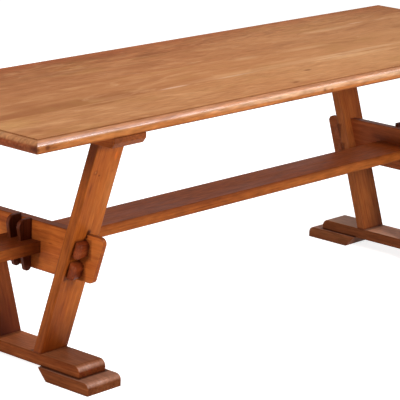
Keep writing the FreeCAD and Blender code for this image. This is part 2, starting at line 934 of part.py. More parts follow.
os.makedirs("parts", exist_ok=True)
for item in nodes:
    item.Shape.exportStep("parts/%s.step" % item.Label)
    box = item.Shape.BoundBox
    print(
        "%-22s volume %9.0f  x %7.1f %7.1f  y %7.1f %7.1f  z %6.1f %6.1f"
        % (item.Label, item.Shape.Volume, box.XMin, box.XMax, box.YMin, box.YMax, box.ZMin, box.ZMax)
    )
print("%d nodes" % len(nodes))
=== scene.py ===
import math

import bpy
from mathutils import Matrix, Vector


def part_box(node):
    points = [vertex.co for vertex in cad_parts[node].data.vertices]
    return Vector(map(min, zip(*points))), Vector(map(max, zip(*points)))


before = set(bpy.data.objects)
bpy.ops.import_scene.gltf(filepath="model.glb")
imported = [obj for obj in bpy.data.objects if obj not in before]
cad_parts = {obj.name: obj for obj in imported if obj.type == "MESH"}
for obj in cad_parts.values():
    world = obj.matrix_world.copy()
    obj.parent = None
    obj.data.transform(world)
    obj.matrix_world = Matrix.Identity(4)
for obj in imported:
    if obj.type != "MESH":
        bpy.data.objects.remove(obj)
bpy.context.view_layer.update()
scene = bpy.context.scene
scene.view_settings.view_transform = "Standard"
print("frame loaded,", len(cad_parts), "pieces")

# directions of the table
lengthwise = (1, 0, 0)
sideways = (0, 1, 0)
upright = (0, 0, 1)


# shader tools

def seen(red, green, blue):
    # a colour as it looks on screen, 0 to 255, as the linear colour that a socket wants
    parts = []
    for level in (red, green, blue):
        share = level / 255
        parts.append(share / 12.92 if share <= 0.04045 else ((share + 0.055) / 1.055) ** 2.4)
    return (*parts, 1)


class Wire:
    # a socket that can be used in sums

    def __init__(self, tree, socket):
        self.tree = tree
        self.socket = socket

    def sum(self, operation, first, second=0.0):
        node = self.tree.nodes.new("ShaderNodeMath")
        node.operation = operation
        for entry, value in zip(node.inputs, (first, second)):
            if isinstance(value, Wire):
                self.tree.links.new(value.socket, entry)
            else:
                entry.default_value = value
        return Wire(self.tree, node.outputs[0])

    def __add__(self, other):
        return self.sum("ADD", self, other)

    def __radd__(self, other):
        return self.sum("ADD", other, self)

    def __sub__(self, other):
        return self.sum("SUBTRACT", self, other)

    def __rsub__(self, other):
        return self.sum("SUBTRACT", other, self)

    def __mul__(self, other):
        return self.sum("MULTIPLY", self, other)

    def __rmul__(self, other):
        return self.sum("MULTIPLY", other, self)

    def __truediv__(self, other):
        return self.sum("DIVIDE", self, other)

    def __pow__(self, other):
        return self.sum("POWER", self, other)

    def __abs__(self):
        return self.sum("ABSOLUTE", self)

    def __mod__(self, other):
        return self.sum("FLOORED_MODULO", self, other)

    def floor(self):
        return self.sum("FLOOR", self)

    def greatest(self, other):
        return self.sum("MAXIMUM", self, other)


class Graph:
    # the node tree of a material or of the world

    def __init__(self, owner):
        self.owner = owner
        owner.use_nodes = True
        self.tree = owner.node_tree
        self.tree.nodes.clear()

    def node(self, kind, settings=None, sockets=None, output=0):
        made = self.tree.nodes.new(kind)
        for word, value in (settings or {}).items():
            if word == "stops":
                ramp = made.color_ramp
                while len(ramp.elements) < len(value):
                    ramp.elements.new(0.5)
                for stop, (place, colour) in zip(ramp.elements, value):
                    stop.position = place
                    stop.color = colour
            else:
                setattr(made, word, value)
        for word, value in (sockets or {}).items():
            if isinstance(value, Wire):
                self.tree.links.new(value.socket, made.inputs[word])
            else:
                made.inputs[word].default_value = value
        return Wire(self.tree, made.outputs[output]) if made.outputs else None

    def vector(self, operation, first, second=(0, 0, 0), output=0):
        settings = {"operation": operation}
        return self.node("ShaderNodeVectorMath", settings, {0: first, 1: second}, output)

    def dot(self, first, second):
        # output 1 of a Vector Math node is its number
        return self.vector("DOT_PRODUCT", first, tuple(second), 1)

    def joined(self, x, y, z):
        return self.node("ShaderNodeCombineXYZ", {}, {0: x, 1: y, 2: z})

    def noise(self, place, scale=1.0, detail=2.0, roughness=0.5, distortion=0.0, output=0):
        return self.node("ShaderNodeTexNoise", {"noise_dimensions": "3D"}, {
            "Vector": place,
            "Scale": scale,
            "Detail": detail,
            "Roughness": roughness,
            "Distortion": distortion,
        }, output)

    def rise(self, value, low, high, start=0.0, end=1.0):
        # goes softly from start to end while the value goes from low to high
        return self.node("ShaderNodeMapRange", {"interpolation_type": "SMOOTHSTEP"}, {
            "Value": value,
            "From Min": low,
            "From Max": high,
            "To Min": start,
            "To Max": end,
        })

    def between(self, value, low, lowEnd, high, highEnd):
        # 1 in a band of the value, with a soft edge on either side
        return self.rise(value, low, lowEnd) - self.rise(value, high, highEnd)

    def blend(self, share, first, second, way="MIX"):
        # inputs 0, 6 and 7 of a Mix node are its factor and its two colours, output 2 is the colour
        settings = {"data_type": "RGBA", "blend_type": way}
        return self.node("ShaderNodeMix", settings, {0: share, 6: first, 7: second}, 2)

    def close(self, shader, kind="ShaderNodeOutputMaterial"):
        self.node(kind, {}, {"Surface": shader})
        return self.owner


# wood: one recipe, in which each piece has its own grain direction, pith, tones and marks

woodValues = {
    "roughness": (0.42, 0.58),
    "specular": 0.05,
    "coat": 0.04,               # old polish, which is thicker where a piece says so
    "coatRoughness": 0.25,
    "bump": 0.12,
    "bumpDistance": 0.0012,
    "warp": 0.010,              # how far the rings wander, in metres
    "pithTilt": 0.02,
    "ringWander": 1.2,          # in rings
    "late": (0.35, 0.93, 0.93, 1.0),    # the dark part of a ring, where 1 is the whole ring
    "lateChange": (0.7, 3.1), "lateStrength": 1.6, "lateMean": 0.35,
    "toneStops": (0.18, 0.5, 0.82),     # dark, middle, pale
    # how often each layer of the grain changes in a metre, along and across it
    "scales": {
        "wander": (1.1, 5.0),
        "ring": (0.6, 14),
        "band": (0.7, 25),          # broad streaks
        "streak": (2.2, 120),
        "fibre": (14, 900),
        "blotch": (2.4, 8),
        "figure": (6, 26),          # short soft flames
        "fleck": (20, 130),         # fine light and dark flecks over the finished colour
    },
    "ringDepth": 0.09,
    "bandDepth": 0.36,
    "streakDepth": 0.36,
    "fibreDepth": 0.24,
    "blotchDepth": 0.672,
    "figureDepth": 0.416,
    "fleckDepth": 0.85,
    # long arrises, painted darker as shade on their rounded edges, with some dirt and old finish
    "arrisWidth": 0.007,
    "arrisShade": 0.72,
    "arrisColour": (70, 28, 12),
}

knotValues = {"colour": (104, 52, 26), "share": 0.54, "haloSize": 2.4, "haloShare": 0.35}


class Wood(Graph):
    def __init__(self, name, values, centre, along, across, halfSizes, seed):
        super().__init__(bpy.data.materials.new(name))
        self.values = {**woodValues, **values}
        v = self.values
        through = Vector(along).cross(Vector(across))
        self.place = self.node("ShaderNodeTexCoord", output="Object")
        middle = self.vector("SUBTRACT", self.place, tuple(centre))
        self.along = self.dot(middle, along)
        self.across = self.dot(middle, across)
        self.through = self.dot(middle, through)
        # every piece reads the noise at a place of its own
        shift = (seed * 3.71, seed * 1.93 + 5.0, seed * 7.17)
        self.grain = self.vector("ADD", self.joined(self.along, self.across, self.through), shift)

        # rings around the pith, which wanders
        wander = self.layer("wander", detail=1.0, output=1)
        wander = self.vector("SUBTRACT", wander, (0.5, 0.5, 0.5))
        pithAcross, pithThrough = v["pith"]
        width = self.across + self.dot(wander, (2 * v["warp"], 0, 0)) - pithAcross
        depth = self.through + self.dot(wander, (0, 2 * v["warp"], 0))
        depth = depth - (pithThrough + self.along * v["pithTilt"])
        radius = (width * width + depth * depth) ** 0.5
        ring = radius / v["ringWidth"] + self.layer("ring", detail=1.0) * v["ringWander"]
        alongScale, noiseScale = v["lateChange"]
        ringPlace = self.joined(ring.floor(), self.along * alongScale, 0.0)
        strength = self.noise(ringPlace, scale=noiseScale, detail=0.0) * v["lateStrength"]
        self.late = self.between(ring % 1.0, *v["late"]) * strength

        band = self.layer("band", detail=2.0, distortion=0.35)
        self.streak = self.layer("streak", detail=3.0, roughness=0.6)
        self.fibre = self.layer("fibre", detail=2.0, roughness=0.6)
        self.blotch = self.layer("blotch", detail=3.0, roughness=0.55)
        self.figure = self.layer("figure", detail=3.0, roughness=0.6, distortion=0.9)
        tone = (
            0.5
            - (self.late - v["lateMean"]) * v["ringDepth"]
            + (band - 0.5) * v["bandDepth"]
            + (self.streak - 0.5) * v["streakDepth"]
            + (self.fibre - 0.5) * v["fibreDepth"]
            + (self.blotch - 0.5) * v["blotchDepth"]
            + (self.figure - 0.5) * v["figureDepth"]
        )
        tones = [seen(*v[word]) for word in ("dark", "middle", "pale")]
        stops = list(zip(v["toneStops"], tones))
        self.colour = self.node("ShaderNodeValToRGB", {"stops": stops}, {"Fac": tone})
        self.coat = v["coat"]
        self.fleckDepth = v["fleckDepth"]

        if v["arrisShade"]:
            # painted shade along the long arrises, with some dirt and old finish
            halfAcross, halfThrough = halfSizes
            sides = self.rise(abs(self.across), halfAcross - v["arrisWidth"], halfAcross)
            faces = self.rise(abs(self.through), halfThrough - v["arrisWidth"], halfThrough)
            self.tint(sides * faces * v["arrisShade"] * self.blotch, v["arrisColour"])

    def layer(self, name, **settings):
        # noise that is stretched along the grain
        alongScale, acrossScale = self.values["scales"][name]
        place = self.vector("MULTIPLY", self.grain, (alongScale, acrossScale, acrossScale))
        return self.noise(place, **settings)

    def patchy(self, broad, fine, fineShare, low, high, start, end=1.0):
        # goes from start to end in patches of a broad layer with edges of a fine one
        return self.rise(broad + (fine - 0.5) * fineShare, low, high, start, end)

    def tint(self, share, colour, way="MIX"):
        self.colour = self.blend(share, self.colour, seen(*colour), way)

    def axis(self, direction):
        return self.dot(self.place, direction)

    def facing(self, direction, low=0.5, high=0.9):
        # 1 where the surface looks in a direction
        normal = self.node("ShaderNodeNewGeometry", output="Normal")
        return self.rise(self.dot(normal, direction), low, high)

    def facingEither(self, direction, low=0.5, high=0.9):
        # 1 where the surface looks in a direction or away from it
        normal = self.node("ShaderNodeNewGeometry", output="Normal")
        return self.rise(abs(self.dot(normal, direction)), low, high)

    def polish(self, share):
        # the greater of the polish so far and this one, a little uneven
        worn = self.patchy(self.blotch, self.streak, 0.8, 0.25, 0.65, 0.55)
        self.coat = (share * worn).greatest(self.coat)

    def mark(self, place, halfSizes, colour, share, core=0.0, ragged=0.25):
        # full in the core of a place, gone at the half sizes from it, with a ragged edge
        scales = tuple(1 / half for half in halfSizes)
        scaled = self.vector("MULTIPLY", self.vector("SUBTRACT", self.place, place), scales)
        away = self.vector("LENGTH", scaled, output=1)
        away = away + (self.streak - 0.5) * ragged * 2 + (self.blotch - 0.5) * ragged * 2
        self.tint(self.rise(away, core, 1.0, 1.0, 0.0) * share, colour)

    def knot(self, place, halfSizes):
        v = knotValues
        halo = tuple(half * v["haloSize"] for half in halfSizes)
        self.mark(place, halo, v["colour"], v["share"] * v["haloShare"], 0.0, 0.3)
        self.mark(place, halfSizes, v["colour"], v["share"], 0.3, 0.2)

    def wisps(self, scales, turn, low, high, colour, share, shift):
        # short ragged streaks of a colour, turned by some degrees from the grain
        turned = self.node("ShaderNodeVectorRotate", {"rotation_type": "Z_AXIS"}, {
            "Vector": self.grain,
            "Angle": math.radians(turn),
        })
        place = self.vector("ADD", self.vector("MULTIPLY", turned, scales), (shift, shift, shift))
        cloud = self.noise(place, detail=3.0, roughness=0.65, distortion=0.8)
        self.tint(self.rise(cloud, low, high) * share, colour)

    def nearBox(self, node, width):
        # 1 at the box of another piece, falling off to 0 at a width from it
        low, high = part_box(node)
        outside = []
        for index, direction in enumerate((lengthwise, sideways, upright)):
            middle = (low[index] + high[index]) / 2
            half = (high[index] - low[index]) / 2
            outside.append(abs(self.axis(direction) - middle) - half)
        away = outside[0].greatest(outside[1]).greatest(outside[2])
        return self.rise(away + (self.streak - 0.5) * width * 0.5, 0.0, width, 1.0, 0.0)

    def finished(self):
        v = self.values
        rough = self.patchy(self.blotch, self.streak, 0.6, 0.25, 0.75, *v["roughness"])
        fleck = self.layer("fleck", detail=2.0, roughness=0.6)
        flecked = 1 + (fleck - 0.5) * self.fleckDepth
        normal = self.node("ShaderNodeBump", {}, {
            "Strength": v["bump"],
            "Distance": v["bumpDistance"],
            "Height": self.fibre * 0.5 + self.streak * 0.8 - self.late * 0.35,
        })
        shader = self.node("ShaderNodeBsdfPrincipled", {}, {
            "Base Color": self.blend(1.0, self.colour, flecked, "MULTIPLY"),
            "Roughness": rough,
            "Specular IOR Level": v["specular"],
            "Coat Weight": self.coat,
            "Coat Roughness": v["coatRoughness"],
            "Normal": normal,
        })
        return self.close(shader)


def pieceWood(node, values, along, across, seed, halfSizes=None):
    # the half sizes across and through the grain come from the box, unless the piece leans
    low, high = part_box(node)
    if halfSizes is None:
        size = high - low
        through = Vector(along).cross(Vector(across))
        halfSizes = (abs(size.dot(Vector(across))) / 2, abs(size.dot(through)) / 2)
    return Wood(node + "Wood", values, (low + high) / 2, along, across, halfSizes, seed)


def dress(node, material):
    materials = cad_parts[node].data.materials
    materials.clear()
    materials.append(material)


# the moulding around the top; its bands go down from the foot of the step, in metres

mouldingValues = {
    "field": (1.158, 0.346),             # half sizes of the raised field
    "rimFrom": (0.001, 0.004),           # how far past the field the moulding begins
    "mitre": (-0.0008, 0.0008),          # where sides and ends meet
    "stepLevel": 0.749,
    "stepColour": (92, 46, 24),
    "stepShare": (0.50, 0.62),           # along the sides, across the ends
    "stepBand": (-0.0012, 0.0002, 0.0006, 0.0022),
    # the upper round painted paler and greyer: partly worn finish, partly painted sheen
    "roundWearAndSheenColour": (184, 128, 100), "roundWearAndSheenShare": 0.60, "roundFade": (0.010, 0.001),
    # a pale band on the round, under the thicker polish: a painted highlight, partly rubbed paler
    # by hands
    "rubbedHighlightColour": (200, 158, 148), "rubbedHighlightShare": 0.60,
    "rubbedHighlightBand": (0.001, 0.005, 0.008, 0.012),
    "lowerColour": (174, 100, 46), "lowerShare": 0.88, "lowerFrom": (0.009, 0.016),
    "footColour": (116, 54, 22), "footShare": 0.75, "footFrom": (0.0235, 0.0290),
    # towards the right the polish is thinner, and a broad pale highlight is painted lower on the
    # round
    "wornFrom": (-0.80, -0.20),
    "broadHighlightColour": (216, 176, 142), "broadHighlightShare": 0.65,
    "broadHighlightBand": (0.003, 0.010, 0.014, 0.021),
    "wornOff": 0.70, "polishOff": 0.62,
    # end grain, which took more stain
    "endUpperColour": (142, 94, 62), "endUpperRise": (0.000, 0.006, 0.50, 0.80),
    "endLowerColour": (116, 52, 26), "endLowerRise": (0.005, 0.013, 0.0, 0.95),
    "endPolish": 0.15,
    "backColour": (166, 84, 50), "backShare": 0.70,
    "backEdgeColour": (96, 54, 36), "backEdgeShare": 0.50,
    "backEdgeBand": (0.0002, 0.0012, 0.0020, 0.0040),
    # extra flecks on the rim: partly painted glints along its highlight, partly grain
    "fleckDepth": 0.75,
}


def dressMoulding(wood):
    v = mouldingValues
    fieldX, fieldY = v["field"]
    outX = abs(wood.axis(lengthwise)) - fieldX
    outY = abs(wood.axis(sideways)) - fieldY
    beyond = outX.greatest(outY)
    below = v["stepLevel"] - wood.axis(upright)
    rim = wood.rise(beyond, *v["rimFrom"])
    end = wood.rise(outX - outY, *v["mitre"])
    side = rim * (1 - end)
    rubbed = wood.between(below, *v["rubbedHighlightBand"])
    worn = wood.rise(wood.axis(lengthwise), *v["wornFrom"])
    uneven = wood.patchy(wood.figure, wood.streak, 0.6, 0.30, 0.62, 0.45)
    streaky = wood.patchy(wood.streak, wood.figure, 0.5, 0.35, 0.65, 0.70)
    grime = wood.patchy(wood.blotch, wood.streak, 0.8, 0.30, 0.65, 0.75)

    # paler upper round: partly worn finish, partly painted sheen
    wood.tint(side * wood.rise(below, *v["roundFade"]) * v["roundWearAndSheenShare"], v["roundWearAndSheenColour"])
    kept = 1 - worn * v["wornOff"]
    # painted highlight on the round, partly rubbed finish
    wood.tint(side * rubbed * uneven * kept * v["rubbedHighlightShare"], v["rubbedHighlightColour"])
    lower = wood.rise(below, *v["lowerFrom"])
    wood.tint(side * lower * streaky * v["lowerShare"], v["lowerColour"])
    wood.tint(side * wood.rise(below, *v["footFrom"]) * v["footShare"], v["footColour"])

    endGrain = rim * end
    wood.tint(endGrain * wood.rise(below, *v["endUpperRise"]) * uneven, v["endUpperColour"])
    wood.tint(endGrain * grime * wood.rise(below, *v["endLowerRise"]), v["endLowerColour"])
    # a broad pale highlight painted lower on the round, towards the right
    broadHighlight = wood.between(below, *v["broadHighlightBand"])
    wood.tint(side * broadHighlight * worn * uneven * v["broadHighlightShare"], v["broadHighlightColour"])
    wood.polish(side * rubbed * uneven * (1 - worn * v["polishOff"]))
    wood.polish(endGrain * v["endPolish"])
    # extra flecks on the rim, partly painted glints along its highlight
    wood.fleckDepth = rim * v["fleckDepth"] + wood.fleckDepth

    back = side * wood.rise(wood.axis(sideways), 0.0, 0.01)
    wood.tint(back * v["backShare"], v["backColour"])
    backEdge = wood.between(below, *v["backEdgeBand"])
    wood.tint(back * backEdge * v["backEdgeShare"], v["backEdgeColour"])
    alongSides, acrossEnds = v["stepShare"]
    step = wood.between(beyond, *v["stepBand"])
    wood.tint(step * (alongSides + end * (acrossEnds - alongSides)), v["stepColour"])


# the top: four glued boards, paler than the rest from light and use

topValues = {
    "level": 0.752,
    "shared": {
        "ringDepth": 0.05, "bandDepth": 0.20, "streakDepth": 0.21, "fibreDepth": 0.16,
        "blotchDepth": 0.736, "figureDepth": 0.48, "arrisShade": 0.0, "specular": 0.0,
        "coat": 0.05, "coatRoughness": 0.21, "roughness": (0.46, 0.62), "bump": 0.08,
    },
    # turn is the way that the wisps of a board lean
    # a board's fleckDepth sets its fine flecks; the light ones are partly painted glints of surface
    # irregularities
    "boards": {
        "top_board_1": {
            "dark": (166, 101, 60), "middle": (189, 128, 82), "pale": (208, 150, 102),
            "pith": (0.02, -0.16), "ringWidth": 0.010, "fleckDepth": 0.50, "seed": 1.3, "turn": 1,
        },
        "top_board_2": {
            "dark": (160, 96, 56), "middle": (185, 122, 77), "pale": (204, 145, 97),
            "pith": (-0.03, -0.13), "ringWidth": 0.009, "fleckDepth": 0.15, "seed": 2.9, "turn": -1,
        },
        "top_board_3": {
            "dark": (152, 90, 54), "middle": (177, 113, 71), "pale": (196, 135, 90),
            "pith": (0.05, -0.15), "ringWidth": 0.008, "fleckDepth": 0.50, "seed": 4.1, "turn": 1,
        },
        "top_board_4": {
            "dark": (138, 76, 44), "middle": (163, 97, 59), "pale": (183, 119, 76),
            "pith": (-0.02, -0.12), "ringWidth": 0.009, "fleckDepth": 1.00, "seed": 5.7, "turn": -1,
        },
    },
    # paler towards the right, less so at the very end, and deeper at the left: partly the boards'
    # own colour, partly painted light and shade
    "fadeColour": (216, 160, 110),
    "fadeRise": (-0.1, 0.6, 0.10, 0.38), "fadeFall": (0.8, 1.1, 1.0, 0.6),
    "deepColour": (118, 70, 42), "deepFall": (-0.9, -0.1, 0.22, 0.0),
    # scales along, across and through, degrees from the grain, low and high level, colour, share
    "wisps": [
        ((5, 22, 22), 7, 0.48, 0.74, (220, 166, 118), 0.34),
        ((6, 24, 24), -5, 0.50, 0.74, (148, 86, 50), 0.34),
        ((13, 44, 44), 12, 0.64, 0.80, (232, 186, 148), 0.30),
        ((3.0, 9, 9), 9, 0.50, 0.70, (172, 124, 70), 0.30),
    ],
    "markDepth": 0.02,
    # place along and across, half sizes, colour, share, core
    "marks": {
        "top_board_1": [
            (-1.100, -0.200, 0.130, 0.060, (190, 142, 88), 0.55, 0.1),
            (0.720, -0.178, 0.170, 0.014, (150, 90, 54), 0.45, 0.2),
            (0.360, -0.160, 0.320, 0.022, (222, 170, 122), 0.70, 0.2),
            (-0.730, -0.160, 0.170, 0.020, (150, 92, 54), 0.60, 0.2),
            (-1.100, -0.260, 0.090, 0.040, (160, 106, 70), 0.40, 0.2),
            (-0.060, -0.330, 0.200, 0.016, (166, 98, 58), 0.35, 0.1),
        ],
        "top_board_2": [
            (-0.820, -0.118, 0.430, 0.046, (150, 90, 55), 0.70, 0.55),
            (0.080, -0.126, 0.560, 0.028, (214, 160, 114), 0.60, 0.40),
            # the thin pale marks along the glue line with the first board: painted highlight of the
            # joint, with pale scratches
            (-0.430, -0.141, 0.080, 0.009, (230, 186, 156), 0.65, 0.2),
            (-0.160, -0.140, 0.110, 0.010, (230, 186, 150), 0.60, 0.2),
            (0.300, -0.142, 0.160, 0.008, (234, 190, 150), 0.55, 0.2),
            (0.055, 0.010, 0.100, 0.030, (206, 154, 110), 0.60, 0.1),
            (0.460, -0.122, 0.300, 0.018, (226, 176, 130), 0.60, 0.3),
            (0.330, 0.000, 0.160, 0.020, (214, 162, 116), 0.55, 0.2),
            (-0.960, -0.050, 0.160, 0.040, (152, 92, 56), 0.45, 0.2),
            (-0.420, -0.040, 0.200, 0.030, (150, 88, 54), 0.35, 0.1),
        ],
        "top_board_3": [
            (0.806, 0.177, 0.060, 0.009, (226, 178, 142), 0.60, 0.2),
            (0.937, 0.172, 0.045, 0.007, (222, 172, 134), 0.55, 0.2),
            (-0.110, 0.062, 0.060, 0.007, (216, 164, 120), 0.50, 0.2),
            (0.560, 0.110, 0.220, 0.018, (196, 140, 96), 0.35, 0.1),
            (0.640, 0.158, 0.200, 0.024, (224, 170, 126), 0.60, 0.2),
            (-0.560, 0.190, 0.260, 0.040, (146, 92, 60), 0.50, 0.2),
            (-0.160, 0.205, 0.120, 0.020, (140, 82, 50), 0.50, 0.1),
        ],
        "top_board_4": [
            (-0.360, 0.300, 0.420, 0.060, (132, 72, 42), 0.55, 0.3),
            (-0.130, 0.229, 0.130, 0.022, (134, 78, 48), 0.60, 0.2),
            (-0.336, 0.271, 0.080, 0.006, (146, 104, 56), 0.50, 0.2),
            (0.517, 0.267, 0.070, 0.006, (172, 128, 74), 0.50, 0.2),
            (0.200, 0.225, 0.160, 0.014, (176, 116, 76), 0.35, 0.2),
        ],
    },
    # the back of the last board is redder, with olive wisps
    "backFrom": (0.27, 0.345),
    "backColour": (168, 88, 54), "backShare": 0.5,
    "backWisps": ((5, 40, 40), 0, 0.56, 0.68, (150, 108, 62)), "backWispShare": 0.6,
    "backWispShift": 3.0,
    # knocks and dirt at the near left corner: place, half sizes, colour, share
    "cornerMarks": [
        ((-1.182, -0.362, 0.731), (0.012, 0.030, 0.013), (58, 24, 12), 0.75),
        ((-1.182, -0.300, 0.728), (0.012, 0.050, 0.008), (66, 26, 12), 0.45),
        ((-1.140, -0.370, 0.731), (0.060, 0.012, 0.012), (120, 62, 32), 0.50),
        ((-1.146, -0.370, 0.733), (0.012, 0.012, 0.010), (84, 40, 26), 0.60),
    ],
    # in the near board: place, half sizes along and across
    "knots": [
        ((0.065, -0.219, 0.752), 0.024, 0.010),
        ((-0.097, -0.308, 0.752), 0.017, 0.008),
        ((-0.041, -0.368, 0.732), 0.010, 0.007),
        ((-0.008, -0.368, 0.728), 0.008, 0.006),
        ((-1.146, -0.368, 0.730), 0.008, 0.006),
    ],
}


def dressTop():
    v = topValues
    for node, values in v["boards"].items():
        wood = pieceWood(node, {**v["shared"], **values}, lengthwise, sideways, values["seed"])
        x = wood.axis(lengthwise)
        # paler to the right and deeper to the left: partly painted light and shade
        wood.tint(wood.rise(x, *v["fadeRise"]) * wood.rise(x, *v["fadeFall"]), v["fadeColour"])
        wood.tint(wood.rise(x, *v["deepFall"]), v["deepColour"])
        for markX, markY, halfX, halfY, colour, share, core in v["marks"][node]:
            place = (markX, markY, v["level"])
            wood.mark(place, (halfX, halfY, v["markDepth"]), colour, share, core)
        for scales, turn, low, high, colour, share in v["wisps"]:
            shift = values["seed"] + share * 20
            wood.wisps(scales, turn * values["turn"], low, high, colour, share, shift)
        if node == "top_board_4":
            back = wood.rise(wood.axis(sideways), *v["backFrom"])
            wood.tint(back * v["backShare"], v["backColour"])
            wood.wisps(*v["backWisps"], back * v["backWispShare"], v["backWispShift"])
        dressMoulding(wood)
        if node == "top_board_1":
            for place, halfSizes, colour, share in v["cornerMarks"]:
                wood.mark(place, halfSizes, colour, share, 0.2)
            for place, halfAlong, halfAcross in v["knots"]:
                wood.knot(place, (halfAlong, halfAcross, halfAcross))
        dress(node, wood.finished())
    print("top dressed")


# stretcher: its upper side painted darker as shade under the top, darker still towards the left

stretcherValues = {
    "dark": (116, 52, 18), "middle": (152, 80, 32), "pale": (176, 102, 46), "seed": 6.3,
    "pith": (0.01, -0.09), "ringWidth": 0.007, "coat": 0.03, "specular": 0.04, "fleckDepth": 1.15,
    # along the upper part of its sides
    "bandColour": (118, 54, 20), "bandShare": 0.45,
    "sideFrom": (0.062, 0.065), "bandFrom": (0.002, 0.012),
    "upperColour": (128, 64, 28), "upperShare": 0.75, "upperFrom": (0.0145, 0.0162),
    "leftColour": (96, 44, 24), "leftShare": 0.22, "leftFrom": (-0.10, -0.35),
    # painted shadow of the front legs and keys on the tenons
    "tenonColour": (72, 22, 8), "tenonShare": 0.55,
    "tenonRise": (0.860, 0.880), "tenonFall": (0.930, 1.020, 1.0, 0.45),
    # painted shade where the stretcher passes through the crossbars
    "jointColour": (74, 28, 12), "jointShare": 0.70, "jointWidth": 0.05,
}


def dressStretcher():
    v = stretcherValues
    wood = pieceWood("stretcher", v, lengthwise, sideways, v["seed"])
    side = wood.rise(abs(wood.across), *v["sideFrom"])
    wood.tint(side * wood.rise(wood.through, *v["bandFrom"]) * v["bandShare"], v["bandColour"])
    # painted shade on the upper side, under the top
    upper = wood.rise(wood.through, *v["upperFrom"])
    wood.tint(upper * v["upperShare"], v["upperColour"])
    wood.tint(upper * wood.rise(wood.along, *v["leftFrom"]) * v["leftShare"], v["leftColour"])
    # painted shadow on the tenons, cast by the legs and keys
    far = abs(wood.along) + (wood.blotch - 0.5) * 0.04
    tenon = wood.rise(far, *v["tenonRise"]) * wood.rise(far, *v["tenonFall"])
    wood.tint(tenon * v["tenonShare"], v["tenonColour"])
    # painted shade next to the crossbars
    joint = wood.nearBox("crossbar_left", v["jointWidth"])
    joint = joint.greatest(wood.nearBox("crossbar_right", v["jointWidth"]))
    wood.tint(joint * v["jointShare"], v["jointColour"])
    dress("stretcher", wood.finished())
    print("stretcher dressed")


# trestles

legValues = {
    "lean": 17.6,
    "halfSizes": (0.053, 0.015),
    "shared": {"pith": (0.02, -0.07), "ringWidth": 0.006},
    "corners": {
        "front_left": {
            "dark": (118, 51, 16), "middle": (155, 78, 25), "pale": (180, 101, 41), "seed": 7.9,
        },
        # darker tones: partly the leg's own wood, partly painted shade on its inner face, which the
        # front leg shadows
        "back_left": {
            "dark": (84, 34, 14), "middle": (118, 56, 22), "pale": (144, 76, 38), "seed": 8.3,
        },
        "front_right": {
            "dark": (124, 54, 18), "middle": (160, 82, 30), "pale": (186, 108, 48), "seed": 9.7,
        },
        "back_right": {
            "dark": (118, 54, 18), "middle": (150, 79, 33), "pale": (176, 104, 52), "seed": 10.1,
        },
    },
    # the narrow sides: a shade to multiply by, then a fade
    "sideShade": {"left": (224, 222, 226), "right": (255, 255, 255)},
    # on the right legs the fade paints the narrow sides lighter, as painted light
    "fadeColour": (178, 106, 62), "fadeShare": {"left": 0.0, "right": 0.45},
    # bands from the floor up, in metres
    # painted shade low on the legs, near the soles
    "footColour": (84, 24, 2), "footShare": {"left": 0.70, "right": 0.10},
    "footFall": (0.07, 0.22, 1.0, 0.0),
    "middleColour": (96, 50, 32), "middleShare": {"left": 0.0, "right": 0.30},
    "middleBand": (0.16, 0.24, 0.37, 0.42),
    # painted shadow of the bearers and top at the heads of the legs
    "headColour": (98, 42, 16), "headShare": 0.55,
    "headFrom": {"narrow": (0.56, 0.66), "wide": (0.66, 0.69)},
    # darker at the foot joint with the sole, and painted shade in the slots around the pegs
    "jointColour": (70, 24, 8), "jointShare": 0.65, "jointFall": (0.067, 0.075, 1.0, 0.0),
    "pegWidth": 0.008,
    # on the front left leg: place, half sizes, colour, share, core
    "marks": [
        # a painted orange highlight at the top of the leg
        ((-0.814, -0.291, 0.646), (0.010, 0.02, 0.020), (204, 92, 16), 0.55, 0.0),
        ((-0.860, -0.292, 0.648), (0.005, 0.02, 0.022), (116, 50, 10), 0.50, 0.0),
        ((-0.813, -0.277, 0.602), (0.006, 0.02, 0.009), (122, 50, 10), 0.55, 0.0),
        ((-0.881, -0.263, 0.558), (0.006, 0.03, 0.030), (104, 44, 16), 0.60, 0.0),
        # a painted sheen on the right part of the upper leg
        ((-0.800, -0.256, 0.560), (0.034, 0.06, 0.120), (176, 112, 62), 0.40, 0.0),
        ((-0.860, -0.150, 0.200), (0.012, 0.04, 0.050), (110, 46, 16), 0.40, 0.0),
        # a knot with a pale eye
        ((-0.877, -0.279, 0.606), (0.013, 0.02, 0.011), (96, 38, 12), 0.75, 0.0),
        ((-0.878, -0.279, 0.607), (0.006, 0.02, 0.005), (164, 98, 46), 0.80, 0.0),
        ((-0.861, -0.275, 0.596), (0.006, 0.02, 0.005), (84, 26, 4), 0.85, 0.0),
        # painted shadow in the gap over the tusk
        ((-0.839, -0.221, 0.425), (0.012, 0.010, 0.014), (60, 18, 6), 0.90, 0.3),
    ],
}

corners = tuple(legValues["corners"])


